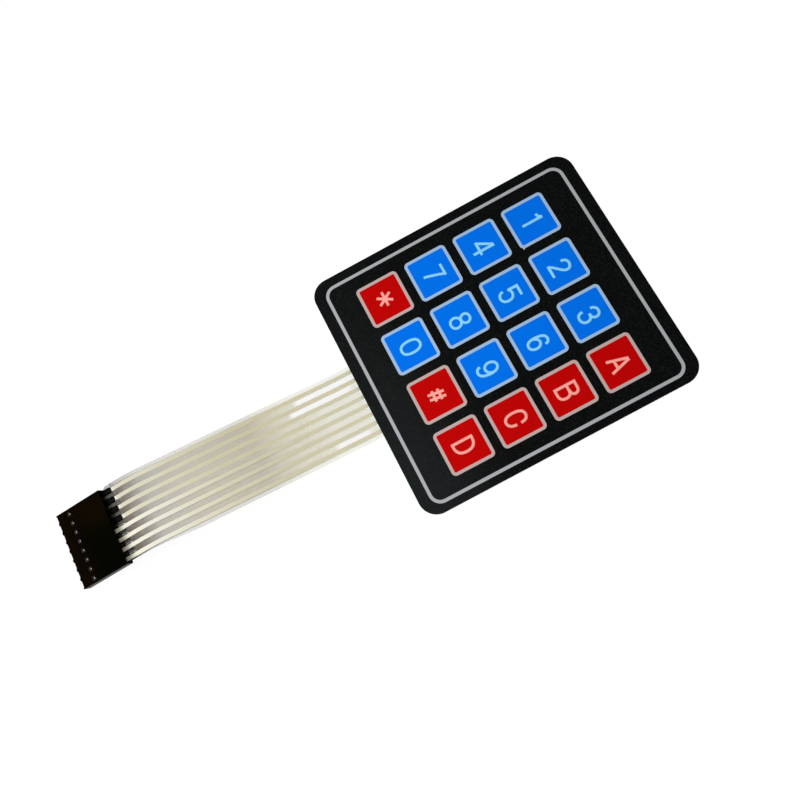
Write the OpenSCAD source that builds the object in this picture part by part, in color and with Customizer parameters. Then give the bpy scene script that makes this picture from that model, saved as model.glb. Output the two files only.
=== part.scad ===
// Membrane matrix keypad. A laminated pad of four rows of four printed keys, with a
// film tail that rises from its lower edge to an eight-way crimp connector.
// Millimetres. The origin is the centre of the pad's back face, +Z points out of the
// printed face, +Y points to the first row of keys and the tail leaves towards -Y.

/* [Pad] */
// Width of the pad, along X
pad_w = 69.2; // [67:0.1:80]
// Height of the pad, along Y
pad_h = 76.9; // [72:0.1:90]
// Radius of the pad's corners
pad_r = 4.8; // [1:0.1:8]

/* [Layers] */
// Thickness of the release liner on the back
liner_t = 0.1; // [0.05:0.01:0.2]
// Thickness of the mounting adhesive
rear_adhesive_t = 0.13; // [0.05:0.01:0.3]
// Thickness of each circuit film
film_t = 0.125; // [0.1:0.005:0.2]
// Thickness of the spacer between the two circuit films
spacer_t = 0.2; // [0.15:0.01:0.3]
// Thickness of the adhesive under the overlay
overlay_adhesive_t = 0.05; // [0.03:0.01:0.15]
// Thickness of the printed overlay
overlay_t = 0.17; // [0.12:0.01:0.4]
// Depth of the print in the overlay
print_t = 0.04; // [0.02:0.01:0.08]
// Depth of the silver ink in a circuit film
ink_t = 0.03; // [0.02:0.005:0.06]

/* [Keys] */
// Distance between key columns
key_pitch_x = 14.6; // [13:0.1:15]
// Distance between key rows
key_pitch_y = 14.42; // [13:0.01:15.5]
// Side of a key, over its frame
key_size = 12; // [10:0.1:12.6]
// Radius of a key frame's outer corners
key_r = 1.2; // [0.9:0.1:3]
// Width of a key frame's line
frame_line = 0.8; // [0.4:0.05:1.2]
// Radius of a colour field's corners
field_r = 0.45; // [0.1:0.05:1]

/* [Border] */
// Distance from the pad's side edges to the border line
border_inset_x = 2.3; // [1:0.1:4]
// Distance from the pad's top and bottom edges to the border line
border_inset_y = 3.1; // [1:0.1:5]
// Width of the border line
border_line_w = 0.85; // [0.4:0.05:1.5]
// Radius of the border line's outer corners
border_r = 3.2; // [1.6:0.1:6]
// How far the print lies off the pad's centre towards +X
print_shift_x = 0.2; // [-0.4:0.05:0.4]
// How far the print lies off the pad's centre towards +Y
print_shift_y = -0.1; // [-0.4:0.05:0.4]

/* [Circuit] */
// Diameter of a silver contact pad under a key
silver_pad_d = 9; // [6:0.1:10]
// Diameter of the hole in the spacer under a key
spacer_hole_d = 10; // [7:0.1:11]
// Width of the air channel between spacer holes
vent_w = 1; // [0.5:0.1:2]
// Width of a silver track
track_w = 1; // [0.6:0.05:1.1]
// Bare rim left around the tracks at the pad's edge
seal_w = 1.2; // [0.8:0.1:1.4]

/* [Tail] */
// Length of the tail from the pad's edge to the connector, along the film
tail_len = 70.4; // [50:0.1:120]
// Width of the tail
tail_w = 21; // [20.4:0.1:24]
// Length over which the tail turns up as it leaves the pad
tail_rise_len = 6.5; // [4:0.5:16]
// Angle at which the tail climbs
tail_rise_angle = 9.2; // [0:0.1:14]
// Angle at which the tail reaches the bend behind the connector
tail_top_angle = 9.4; // [0:0.1:14]
// Length of the bend behind the connector
tail_bend_len = 8; // [5:0.5:16]
// Length over which one side of the tail narrows
taper_len = 13; // [5:0.5:20]
// Length of the narrowed side, from there to the connector
narrow_len = 7.4; // [6:0.1:12]
// Length of the corner cut on the tail's other side, at the connector
corner_len = 1; // [0.2:0.1:1.5]

/* [Connector] */
// Distance between pins
pin_pitch = 2.54; // [2.5:0.01:2.6]
// Length of the housing
housing_l = 14; // [13.6:0.1:16]
// Thickness of the housing
housing_t = 2.54; // [2.5:0.01:3]
// Angle by which the connector's mating end dips
nose_angle = 10.5; // [0:0.1:12]
// Radius of the housing's long edges
housing_r = 0.2; // [0.1:0.05:0.25]
// Wall at the mating end
nose_wall = 1; // [0.9:0.05:1.3]
// Side of the square hole for a pin
pin_hole = 0.9; // [0.8:0.05:1]
// Depth of the funnel that leads a pin in
funnel_depth = 0.7; // [0.5:0.05:0.8]
// Width of the funnel's mouth
funnel_w = 1.9; // [1.3:0.05:2.1]
// How far the funnel's mouth reaches past the housing's faces
funnel_break = 0.5; // [0.05:0.05:0.6]
// Distance from the mating end to the middle of a latch window
window_y = 3.5; // [3.2:0.1:3.8]
// Length of a latch window
window_l = 1.4; // [1:0.1:1.6]
// Width of a latch window
window_w = 1.25; // [1.1:0.05:1.4]
// Length of a latch tongue
tongue_l = 3; // [2:0.1:3.5]
// Width of the slit on each side of a tongue
slit_w = 0.15; // [0.1:0.01:0.2]
// Height of the hook under a tongue
hook_h = 0.25; // [0.15:0.01:0.3]
// Length of the hook under a tongue
hook_l = 0.9; // [0.5:0.1:1.1]

/* [Contacts] */
// Thickness of the contact's sheet metal
contact_t = 0.2; // [0.15:0.01:0.2]
// Side of the contact's square box
box_w = 1.8; // [1.7:0.01:1.84]
// Length of the contact's box
box_l = 6.2; // [5.6:0.1:6.4]
// Width of the neck behind the box
neck_w = 1.2; // [0.8:0.05:1.3]
// Length of the neck behind the box
neck_l = 1.5; // [1.2:0.1:1.6]
// Height of the side walls that run on along the neck
wing_h = 1.35; // [0.8:0.05:1.4]
// Length of the side walls that run on along the neck
wing_l = 0.75; // [0.4:0.05:1]
// Width of the flat finger that lies on the film
finger_w = 1.6; // [1.5:0.02:1.7]
// How far a finger reaches out of the housing
finger_out = 2.8; // [2:0.1:4]
// Radius of a finger's end corners
finger_r = 0.55; // [0.2:0.05:0.7]
// Length of a crimp tooth
tooth_l = 0.7; // [0.4:0.05:0.9]
// Distance between the two pairs of teeth
tooth_pitch = 1.8; // [1.3:0.1:1.9]
// Thickness of a contact's leaf springs
leaf_t = 0.15; // [0.1:0.01:0.15]
// Length of a leaf spring
leaf_l = 3.4; // [3:0.1:4]
// Distance from the box's mouth to the bow of a leaf spring
leaf_bow = 1.9; // [1.2:0.1:2.5]
// Gap left between the leaf springs for a pin
spring_gap = 0.44; // [0.3:0.02:0.6]

/* [Clearances] */
// Between a contact's box and its cavity, on each side
cavity_clear = 0.07; // [0.03:0.01:0.1]
// Between a film tab and its cavity, on each side
tab_clear = 0.08; // [0.04:0.01:0.12]
// Between the ends of the covering layers and the fingers
cover_clear = 0.3; // [0.1:0.05:0.6]
// Around a tooth where it passes through the film
tooth_clear = 0.03; // [0.02:0.005:0.04]
// Between a track and the slot for a tooth
tooth_land = 0.04; // [0.02:0.005:0.05]
// Between a finger and the film that it is clinched to
seat_clear = 0.002; // [0.001:0.001:0.02]
// Between a latch hook and its catch, and ahead of a contact's box
latch_clear = 0.1; // [0.05:0.01:0.15]

/* [Hidden] */
$fn = 48;
rows = 4;
columns = 4;
pins = rows + columns;
// Overlap of pieces that are joined, and reach of cutters past a face
lap = 0.5;
cut = 0.05;

// Heights of the layers
z_rear_adhesive = liner_t;
z_lower = z_rear_adhesive + rear_adhesive_t;
z_spacer = z_lower + film_t;
z_upper = z_spacer + spacer_t;
z_overlay_adhesive = z_upper + film_t;
z_overlay = z_overlay_adhesive + overlay_adhesive_t;
z_face = z_overlay + overlay_t;

// Keys
function key_x(column) = (column - (columns - 1) / 2) * key_pitch_x;
function key_y(row) = ((rows - 1) / 2 - row) * key_pitch_y;
// The last column is red, and so are the outer keys of the last row's first three
function is_red(row, column) =
    column == columns - 1 || (row == rows - 1 && column != 1);
keys_half_w = key_x(columns - 1) + key_size / 2;
keys_half_h = key_y(0) + key_size / 2;

// Steps between the tracks in the margins beside and below the keys, and the share of a
// step that a track takes up there
side_step = (pad_w / 2 - seal_w - keys_half_w) / (rows + 1);
foot_step = (pad_h / 2 - seal_w - keys_half_h) / (rows + 1);
step_share = 0.6;
side_track_w = min(track_w, side_step * step_share);

// Pins, numbered from -X
function pin_x(pin) = (pin - (pins + 1) / 2) * pin_pitch;

// The tail's centre line, in Y and Z, as a chain of short straight steps
tail_step = 1.25;
straight_len = finger_out + cover_clear + tail_step;
tail_end = tail_len + housing_l;
tail_headings = [
    [0, 0],
    [tail_rise_len, tail_rise_angle],
    [tail_len - straight_len - tail_bend_len, tail_top_angle],
    [tail_len - straight_len, -nose_angle]];
function heading(s) = lookup(s, tail_headings);
function step_vector(i) =
    let (h = heading((i + 0.5) * tail_step)) tail_step * [-cos(h), sin(h)];
function step_normal(i) = let (h = heading(i * tail_step)) [sin(h), cos(h)];
tail_start = [-pad_h / 2, z_spacer + spacer_t / 2];
tail_points = [for (i = 0, p = tail_start; i * tail_step <= tail_end;
                    p = p + step_vector(i), i = i + 1) p];
// The point at the distance s along the tail and d above its centre line
function tail_point(s, d) =
    s <= 0 ? tail_start + [-s, d] :
    let (i = floor(s / tail_step), part = s / tail_step - i)
    (1 - part) * (tail_points[i] + d * step_normal(i))
    + part * (tail_points[i + 1] + d * step_normal(i + 1));
function tail_y(s) = tail_point(s, 0)[0];
function reversed(list) = [for (i = [len(list) - 1 : -1 : 0]) list[i]];

// Where things lie across the tail's thickness
lower_face = -spacer_t / 2;
upper_face = spacer_t / 2;
// Where things end along the tail
cover_end = tail_len - finger_out - cover_clear;
wide_end = tail_len - cover_clear;
tab_end = tail_len + housing_l - nose_wall - latch_clear - box_l - neck_l
    - contact_t - cover_clear;
ink_end = tab_end - cover_clear;
tooth_x = track_w / 2 + tooth_land + tooth_clear;
tooth_mid = (tab_end - tail_len) / 2;

// The housing's own frame: its rear face is at y = 0, its mating end at -housing_l and
// the middle of the contacts at z = 0. Each contact's box rests on its cavity's floor
housing_w = pins * pin_pitch;
cavity_w = box_w + 2 * cavity_clear;
cavity_floor = -box_w / 2;
cavity_roof = cavity_floor + cavity_w;
housing_mid = cavity_floor + cavity_w / 2;
housing_top = housing_mid + housing_t / 2;
cavity_end = housing_l - nose_wall;
box_front = cavity_end - latch_clear;
box_rear = box_front - box_l;
neck_rear = box_rear - neck_l;
hook_y = housing_l - window_y - window_l / 2;
tab_w = cavity_w - 2 * tab_clear;
// The tail's narrowed side ends flush with the outermost tab
narrow_half_w = pin_x(pins) + tab_w / 2;

module rounded_rect(w, h, r) {
    square([w - 2 * r, h], center = true);
    square([w, h - 2 * r], center = true);
    for (x = [-1, 1], y = [-1, 1])
        translate([x * (w / 2 - r), y * (h / 2 - r)]) circle(r);
}

module pad_outline() {
    rounded_rect(pad_w, pad_h, pad_r);
}

module pad_sheet(z, t) {
    translate([0, 0, z]) linear_extrude(t) pad_outline();
}

module at_keys(colour = "all") {
    for (row = [0 : rows - 1], column = [0 : columns - 1])
        if (colour == "all" || (colour == "red") == is_red(row, column))
            translate([key_x(column), key_y(row)]) children();
}

module key_outline() {
    rounded_rect(key_size, key_size, key_r);
}

module field_outline() {
    rounded_rect(key_size - 2 * frame_line, key_size - 2 * frame_line, field_r);
}

module border_outline() {
    w = pad_w - 2 * border_inset_x;
    h = pad_h - 2 * border_inset_y;
    difference() {
        rounded_rect(w, h, border_r);
        rounded_rect(w - 2 * border_line_w, h - 2 * border_line_w,
                     border_r - border_line_w);
    }
}

// Print lies flush in the overlay's face
module print_layer(extra = 0) {
    translate([print_shift_x, print_shift_y, z_face - print_t])
        linear_extrude(print_t + extra) children();
}

module graphic_overlay() color([0.03, 0.03, 0.035]) difference() {
    pad_sheet(z_overlay, overlay_t);
    print_layer(cut) {
        border_outline();
        at_keys() key_outline();
    }
}

module border_line() color([0.78, 0.78, 0.78]) print_layer() border_outline();

module key_frames() color([0.78, 0.78, 0.78]) print_layer() at_keys() difference() {
    key_outline();
    field_outline();
}

module blue_key_fields() color([0, 0.43, 0.93])
    print_layer() at_keys("blue") field_outline();

module red_key_fields() color([0.78, 0.02, 0.02])
    print_layer() at_keys("red") field_outline();

module release_liner() color([0.93, 0.91, 0.84]) pad_sheet(0, liner_t);

module rear_adhesive() color([0.85, 0.85, 0.8])
    pad_sheet(z_rear_adhesive, rear_adhesive_t);

module overlay_adhesive() color([0.9, 0.9, 0.86])
    pad_sheet(z_overlay_adhesive, overlay_adhesive_t);

// A track from one point to the next along straight runs parallel to X or Y
module track(points, w) {
    for (i = [0 : len(points) - 2])
        let (a = points[i], b = points[i + 1])
            translate((a + b) / 2)
                square([abs(b.x - a.x) + w, abs(b.y - a.y) + w], center = true);
}

// Each row's bus runs to the side, down the margin and in to its own pin
module row_ink() {
    at_keys() circle(d = silver_pad_d);
    for (row = [0 : rows - 1]) {
        side_x = -keys_half_w - (rows - row) * side_step;
        foot_y = -keys_half_h - (rows - row) * foot_step;
        x = pin_x(row + 1);
        track([[key_x(columns - 1), key_y(row)], [side_x, key_y(row)],
               [side_x, foot_y]], side_track_w);
        track([[side_x, foot_y], [x, foot_y]], side_track_w);
        track([[x, foot_y], [x, -pad_h / 2 + track_w / 2]], track_w);
    }
}

// Each column's bus runs down past the last row and across to its own pin
module column_ink() {
    at_keys() circle(d = silver_pad_d);
    for (column = [0 : columns - 1]) {
        foot_y = -keys_half_h - (columns - column) * foot_step;
        x = pin_x(rows + column + 1);
        track([[key_x(column), key_y(0)], [key_x(column), foot_y]], side_track_w);
        track([[key_x(column), foot_y], [x, foot_y]], side_track_w);
        track([[x, foot_y], [x, -pad_h / 2 + track_w / 2]], track_w);
    }
}

// A layer of the tail from d0 to d1 above its centre line, with the plan of its children
module tail_layer(d0, d1) {
    stations = concat([-lap], [for (s = [0 : tail_step : tab_end + tail_step]) s]);
    intersection() {
        translate([-tail_w, 0, 0]) rotate([90, 0, 90]) linear_extrude(2 * tail_w)
            polygon(concat([for (s = stations) tail_point(s, d0)],
                           [for (s = reversed(stations)) tail_point(s, d1)]));
        translate([0, 0, -tail_end]) linear_extrude(2 * tail_end) children();
    }
}

// The pins whose tracks lie on the lower film are those on the -X side
function side_pins(side) = side < 0 ? [1 : rows] : [rows + 1 : pins];

// Corners of the film tabs on one side, from -X to +X
function tab_corners(side) =
    let (y0 = tail_y(wide_end), y1 = tail_y(tab_end))
    [for (pin = side_pins(side), corner = [[-1, y0], [-1, y1], [1, y1], [1, y0]])
        [pin_x(pin) + corner[0] * tab_w / 2, corner[1]]];

// Plan of the tail, narrowed on its +X side. A circuit film goes on past the layers that
// cover it on one side, -1 or 1, and ends there in a tab for each pin
module tail_plan(side = 0) {
    half = tail_w / 2;
    pad_y = tail_y(-2 * lap);
    cover_y = tail_y(cover_end);
    wide_y = tail_y(wide_end);
    narrow_start = tail_len - narrow_len;
    polygon(concat(
        [[-half, pad_y]],
        side < 0
            ? concat([[-half, wide_y + corner_len]], tab_corners(-1),
                     [[0, wide_y], [0, cover_y]])
            : [[-half, cover_y]],
        side > 0
            ? concat([[0, cover_y], [0, wide_y]], tab_corners(1))
            : [[narrow_half_w, cover_y]],
        [[narrow_half_w, tail_y(narrow_start)],
         [half, tail_y(narrow_start - taper_len)], [half, pad_y]]));
}

module track_plan(side) {
    y0 = tail_y(ink_end);
    y1 = tail_y(-2 * lap);
    for (pin = side_pins(side))
        translate([pin_x(pin) - track_w / 2, y0]) square([track_w, y1 - y0]);
}

module at_connector() {
    place = tail_point(tail_len, 0);
    translate([0, place[0], place[1]]) rotate([nose_angle, 0, 0]) children();
}

// Places of the four teeth of one crimp, in the connector's frame
module at_teeth(pin) {
    for (x = [-1, 1], y = [-1, 1])
        translate([pin_x(pin) + x * (tooth_x + contact_t / 2),
                   -tooth_mid + y * tooth_pitch / 2, 0])
            mirror([x < 0 ? 1 : 0, 0, 0]) children();
}

module tooth_slots(side) {
    for (pin = side_pins(side))
        at_connector() at_teeth(pin)
            cube([contact_t + 2 * tooth_clear, tooth_l + 2 * tooth_clear, box_w],
                 center = true);
}

module lower_circuit() color([0.86, 0.88, 0.85, 0.5]) difference() {
    union() {
        pad_sheet(z_lower, film_t);
        tail_layer(lower_face - film_t, lower_face) tail_plan(-1);
    }
    translate([0, 0, z_spacer - ink_t]) linear_extrude(ink_t + cut) row_ink();
    tail_layer(lower_face - ink_t, lower_face + cut) track_plan(-1);
    tooth_slots(-1);
}

module upper_circuit() color([0.86, 0.88, 0.85, 0.5]) difference() {
    union() {
        pad_sheet(z_upper, film_t);
        tail_layer(upper_face, upper_face + film_t) tail_plan(1);
    }
    translate([0, 0, z_upper - cut]) linear_extrude(ink_t + cut) column_ink();
    tail_layer(upper_face - cut, upper_face + ink_t) track_plan(1);
    tooth_slots(1);
}

module row_tracks() color([0.84, 0.81, 0.7]) union() {
    translate([0, 0, z_spacer - ink_t]) linear_extrude(ink_t) row_ink();
    tail_layer(lower_face - ink_t, lower_face) track_plan(-1);
}

module column_tracks() color([0.84, 0.81, 0.7]) union() {
    translate([0, 0, z_upper]) linear_extrude(ink_t) column_ink();
    tail_layer(upper_face, upper_face + ink_t) track_plan(1);
}

// The spacer has a round hole under each key and channels that let air move between
module spacer() color([0.8, 0.82, 0.8, 0.6]) union() {
    translate([0, 0, z_spacer]) linear_extrude(spacer_t) difference() {
        pad_outline();
        at_keys() circle(d = spacer_hole_d);
        for (row = [0 : rows - 1])
            translate([0, key_y(row)])
                square([key_x(columns - 1) - key_x(0), vent_w], center = true);
        translate([key_x(0), 0])
            square([vent_w, key_y(0) - key_y(rows - 1)], center = true);
    }
    tail_layer(lower_face, upper_face) tail_plan();
}

// Housing

// Half the funnel's opening at a distance y from the mating end, outside it if below 0
function funnel_half(mouth, y) =
    mouth / 2 + (pin_hole - mouth) / 2 * y / funnel_depth;

module funnel() {
    mouth_t = housing_t + 2 * funnel_break;
    y0 = -housing_l - cut;
    y1 = -housing_l + funnel_depth;
    intersection() {
        translate([0, 0, -housing_t]) linear_extrude(2 * housing_t) polygon([
            [-funnel_half(funnel_w, -cut), y0], [funnel_half(funnel_w, -cut), y0],
            [pin_hole / 2, y1], [-pin_hole / 2, y1]]);
        translate([-pin_pitch / 2, 0, 0]) rotate([90, 0, 90])
            linear_extrude(pin_pitch) polygon([
                [y0, -funnel_half(mouth_t, -cut)], [y0, funnel_half(mouth_t, -cut)],
                [y1, pin_hole / 2], [y1, -pin_hole / 2]]);
    }
}

// A box given by its spans along the housing's axes
module span(x, y, z) {
    translate([x[0], y[0], z[0]]) cube([x[1] - x[0], y[1] - y[0], z[1] - z[0]]);
}

module latch_cuts() {
    wall = [cavity_roof - cut, housing_top + cut];
    half = window_w / 2;
    span([-half, half], [-hook_y - window_l, -hook_y], wall);
    for (x = [-half, half - slit_w])
        span([x, x + slit_w], [-hook_y - cut, -hook_y + tongue_l], wall);
}

module latch_hook() {
    w = window_w - 4 * slit_w;
    translate([-w / 2, 0, 0]) rotate([90, 0, 90]) linear_extrude(w) polygon([
        [-hook_y, cavity_roof + cut], [-hook_y, cavity_roof - hook_h],
        [-hook_y + hook_l, cavity_roof], [-hook_y + hook_l, cavity_roof + cut]]);
}

module connector_housing() color([0.06, 0.05, 0.045]) at_connector() {
    difference() {
        translate([0, 0, housing_mid]) rotate([90, 0, 0]) linear_extrude(housing_l)
            rounded_rect(housing_w, housing_t, housing_r);
        for (pin = [1 : pins])
            translate([pin_x(pin), 0, 0]) {
                span([-cavity_w / 2, cavity_w / 2], [-cavity_end, cut],
                     [cavity_floor, cavity_roof]);
                span([-pin_hole / 2, pin_hole / 2], [-housing_l - cut, -cavity_end + cut],
                     [-pin_hole / 2, pin_hole / 2]);
                funnel();
                latch_cuts();
            }
    }
    for (pin = [1 : pins])
        translate([pin_x(pin), 0, 0]) latch_hook();
}

// Contacts

module contact_box() {
    half = box_w / 2;
    inner = half - contact_t;
    hook_half = window_w / 2 - 2 * slit_w + latch_clear;
    difference() {
        span([-half, half], [-box_front, -box_rear], [-half, half]);
        span([-inner, inner], [-box_front - cut, -box_rear + cut], [-inner, inner]);
        span([-hook_half, hook_half],
             [-hook_y - latch_clear, -hook_y + hook_l + latch_clear],
             [inner - cut, half + cut]);
    }
}

// A leaf that bows in from the box's mouth to press on a pin
module contact_spring() {
    half = box_w / 2;
    inner = half - contact_t;
    w = 2 * inner - 2 * cavity_clear;
    bow = spring_gap / 2;
    y0 = -box_front;
    y1 = y0 + leaf_bow;
    y2 = y0 + leaf_l;
    translate([-w / 2, 0, 0]) rotate([90, 0, 90]) linear_extrude(w) polygon([
        [y0, inner + contact_t / 2], [y0, inner - leaf_t], [y1, bow],
        [y2, inner - 2 * leaf_t], [y2, inner - leaf_t], [y1, bow + leaf_t],
        [y0 + leaf_t, inner], [y0 + leaf_t, inner + contact_t / 2]]);
}

// The neck steps from the floor of the box to the finger, at the height z
module contact_neck(z) {
    half = box_w / 2;
    floor_z = -half;
    y0 = -box_rear - lap;
    y1 = -box_rear + contact_t;
    y2 = -neck_rear;
    translate([-neck_w / 2, 0, 0]) rotate([90, 0, 90]) linear_extrude(neck_w) polygon([
        [y0, floor_z], [y1, floor_z], [y2 + contact_t, z], [y2 + lap, z],
        [y2 + lap, z + contact_t], [y2, z + contact_t],
        [y1 - contact_t, floor_z + contact_t], [y0, floor_z + contact_t]]);
    for (x = [-half, half - contact_t])
        translate([x, 0, 0]) rotate([90, 0, 90]) linear_extrude(contact_t) polygon([
            [y0, -half], [y0, -half + wing_h], [-box_rear, -half + wing_h],
            [-box_rear + wing_l, -half + contact_t], [-box_rear + wing_l, -half]]);
    span([-half, half], [y0, -box_rear + contact_t], [-half, -half + contact_t]);
}

// The flat finger, from the neck to its rounded end outside the housing
module contact_finger(z) {
    length = neck_rear + finger_out;
    translate([0, finger_out - length / 2, z]) linear_extrude(contact_t)
        rounded_rect(finger_w, length, finger_r);
}

// A tooth goes down from the finger at the height z, through a film whose outer face is
// at -reach, and is clinched inwards beneath it
module contact_tooth(z, reach) {
    half = contact_t / 2;
    foot = -reach - tooth_clear;
    span([-half, half], [-tooth_l / 2, tooth_l / 2], [foot - contact_t, z + half]);
    span([half - tooth_x, half], [-tooth_l / 2, tooth_l / 2], [foot - contact_t, foot]);
}

module contact(pin) color([0.62, 0.6, 0.55]) at_connector() {
    side = pin <= rows ? -1 : 1;
    z = side < 0 ? lower_face + seat_clear : upper_face - contact_t - seat_clear;
    translate([pin_x(pin), 0, 0]) {
        contact_box();
        contact_spring();
        mirror([0, 0, 1]) contact_spring();
        contact_neck(z);
        contact_finger(z);
    }
    mirror([0, 0, side < 0 ? 0 : 1]) at_teeth(pin)
        contact_tooth(lower_face, spacer_t / 2 + film_t);
}

release_liner();
rear_adhesive();
lower_circuit();
row_tracks();
spacer();
column_tracks();
upper_circuit();
overlay_adhesive();
graphic_overlay();
border_line();
key_frames();
blue_key_fields();
red_key_fields();
connector_housing();
for (pin = [1 : pins])
    contact(pin);
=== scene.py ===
"""Looks of a membrane matrix keypad, built around its packed CAD model.

Everything is in metres in the CAD frame: the pad's back face is at z = 0, +Z points out of
the printed face, +Y points to the first row of keys, and the tail leaves towards -Y.
"""

import math

import bmesh
import bpy
from bpy.props import FloatProperty, FloatVectorProperty, PointerProperty
from mathutils import Matrix, Vector


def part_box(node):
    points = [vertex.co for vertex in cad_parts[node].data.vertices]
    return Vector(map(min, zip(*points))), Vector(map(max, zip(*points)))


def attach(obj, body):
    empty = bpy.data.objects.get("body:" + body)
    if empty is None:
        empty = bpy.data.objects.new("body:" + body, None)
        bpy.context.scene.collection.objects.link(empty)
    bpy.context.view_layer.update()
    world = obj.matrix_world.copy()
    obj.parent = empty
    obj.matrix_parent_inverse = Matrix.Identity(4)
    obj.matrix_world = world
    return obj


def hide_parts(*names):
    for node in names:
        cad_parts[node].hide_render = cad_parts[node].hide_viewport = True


bl_info = {
    "name": "Membrane Keypad",
    "version": (1, 0, 0),
    "blender": (4, 5, 0),
    "location": "3D Viewport > Sidebar > Keypad",
    "description": "Dresses a membrane matrix keypad with its finishes, legends and stage",
    "category": "Object",
}

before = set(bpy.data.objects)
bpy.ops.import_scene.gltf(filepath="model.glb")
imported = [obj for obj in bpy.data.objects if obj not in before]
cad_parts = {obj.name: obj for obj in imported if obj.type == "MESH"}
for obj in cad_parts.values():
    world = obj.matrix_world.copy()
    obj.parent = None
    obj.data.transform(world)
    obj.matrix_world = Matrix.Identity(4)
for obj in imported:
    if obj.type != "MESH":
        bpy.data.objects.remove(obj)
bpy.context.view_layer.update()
MM = 0.001
ROOT = "root"

PAD_FOOT_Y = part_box("graphic_overlay")[0].y
HOUSING_REAR_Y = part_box("connector_housing")[1].y
TAIL_LENGTH = PAD_FOOT_Y - HOUSING_REAR_Y
# Shares of the way along the tail: where the layers below the upper film end, and where the
# fingers of the last four pins start
COVER_END = (PAD_FOOT_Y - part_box("spacer")[0].y) / TAIL_LENGTH
FINGER_TIP = (PAD_FOOT_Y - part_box("contact_8")[1].y) / TAIL_LENGTH
# How far the housing's faces sink over one length of the tail, and the height that its top
# face would have at the pad's edge
HOUSING_PITCH = math.radians(10.5)
HOUSING_DIP = TAIL_LENGTH * math.tan(HOUSING_PITCH)
HOUSING_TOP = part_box("connector_housing")[1].z + HOUSING_DIP
PIN_PITCH = 2.54 * MM
KEY_SIDE = 12 * MM
# The parts of the noise in which the grain's flecks and the wide mottling rise
FLECK_RANGE = (0.48, 0.72)
MOTTLE_RANGE = (0.2, 0.7)

# The clear layers touch face to face in the CAD model. The shown ink is grown and the shown
# spacer shrunk by a hair, so that no two faces lie in one place
INK_GROWTH = 0.008 * MM
BOND_SHRINK = 0.014 * MM
MERGE_DISTANCE = 0.0002 * MM
# Corners move out by at most this many times the growth
CORNER_LIMIT = 2.5
SHARP_ANGLE = math.radians(25)
# Where the film's bare side margins begin to clear and where they are clearest, across X
MARGIN_START = 9.35 * MM
MARGIN_END = 9.75 * MM

CONTACTS = [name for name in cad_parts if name.startswith("contact_")]
KEY_ROWS = ("123A", "456B", "789C", "*0#D")
BLUE_KEYS = "0123456789"
RED_KEYS = "ABCD*#"

# Painted highlights: places where the lower film is made clear, so that the white floor
# shows through as bright glare streaks: the middle and half the size across X, then the same
# along Y from the pad's edge, in millimetres
GLARE_PATCHES = ((-7.62, 0.5, 8.5, 7.2), (-5.08, 0.5, 10.5, 7.6), (7.62, 0.42, 7.2, 3.6))

# The lower film along the tail: share of the way from the pad to the housing, colour, and
# how much of what lies behind it one face hides. Its darkening towards the housing is painted
# shade, standing in for the shaded floor under the raised tail and the housing
LOWER_FILM = (
    (0.0, (1.0, 1.0, 1.0), 0.05), (0.01, (0.93, 0.88, 0.3), 0.19),
    (0.15, (0.93, 0.88, 0.3), 0.19), (0.293, (0.87, 0.82, 0.5), 0.43),
    (0.435, (0.49, 0.425, 0.265), 0.6), (0.57, (0.51, 0.457, 0.292), 0.6),
    (0.712, (0.53, 0.474, 0.345), 0.6), (0.855, (0.442, 0.42, 0.353), 0.65),
    (0.898, (0.27, 0.243, 0.208), 0.75), (0.941, (0.137, 0.105, 0.076), 0.85),
    (0.961, (0.09, 0.076, 0.06), 0.92), (0.975, (0.075, 0.063, 0.05), 0.92),
    (0.992, (0.01, 0.009, 0.007), 0.95))
# The film that lies over the fingers of the last four pins, from where the layers below it
# end to the housing. Its darkening towards the housing is painted shade
UPPER_END = (
    (0.955, (0.12, 0.103, 0.082)), (0.975, (0.085, 0.073, 0.058)),
    (0.992, (0.01, 0.009, 0.007)))
# The silver ink along the tail, as it shows below the bond and above it. Its brightening
# towards the housing is a painted highlight where the tail turns to the light, and the
# columns' darkening right at the housing is painted shade
ROW_INK = (
    (0.15, (0.634, 0.598, 0.41)), (0.293, (0.603, 0.552, 0.361)),
    (0.435, (0.558, 0.519, 0.329)), (0.57, (0.568, 0.535, 0.353)),
    (0.712, (0.64, 0.605, 0.417)), (0.855, (0.717, 0.686, 0.522)),
    (0.941, (0.8, 0.74, 0.57)), (0.95, (0.82, 0.79, 0.64)), (0.96, (1.0, 0.98, 0.86)))
COLUMN_INK = (
    (0.15, (0.567, 0.528, 0.355)), (0.293, (0.517, 0.484, 0.327)),
    (0.435, (0.499, 0.475, 0.315)), (0.57, (0.545, 0.517, 0.359)),
    (0.712, (0.637, 0.609, 0.461)), (0.855, (0.736, 0.731, 0.611)),
    (0.941, (0.885, 0.845, 0.717)), (0.965, (0.9, 0.87, 0.72)), (0.978, (0.68, 0.65, 0.53)),
    (0.994, (0.28, 0.26, 0.2)))

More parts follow.
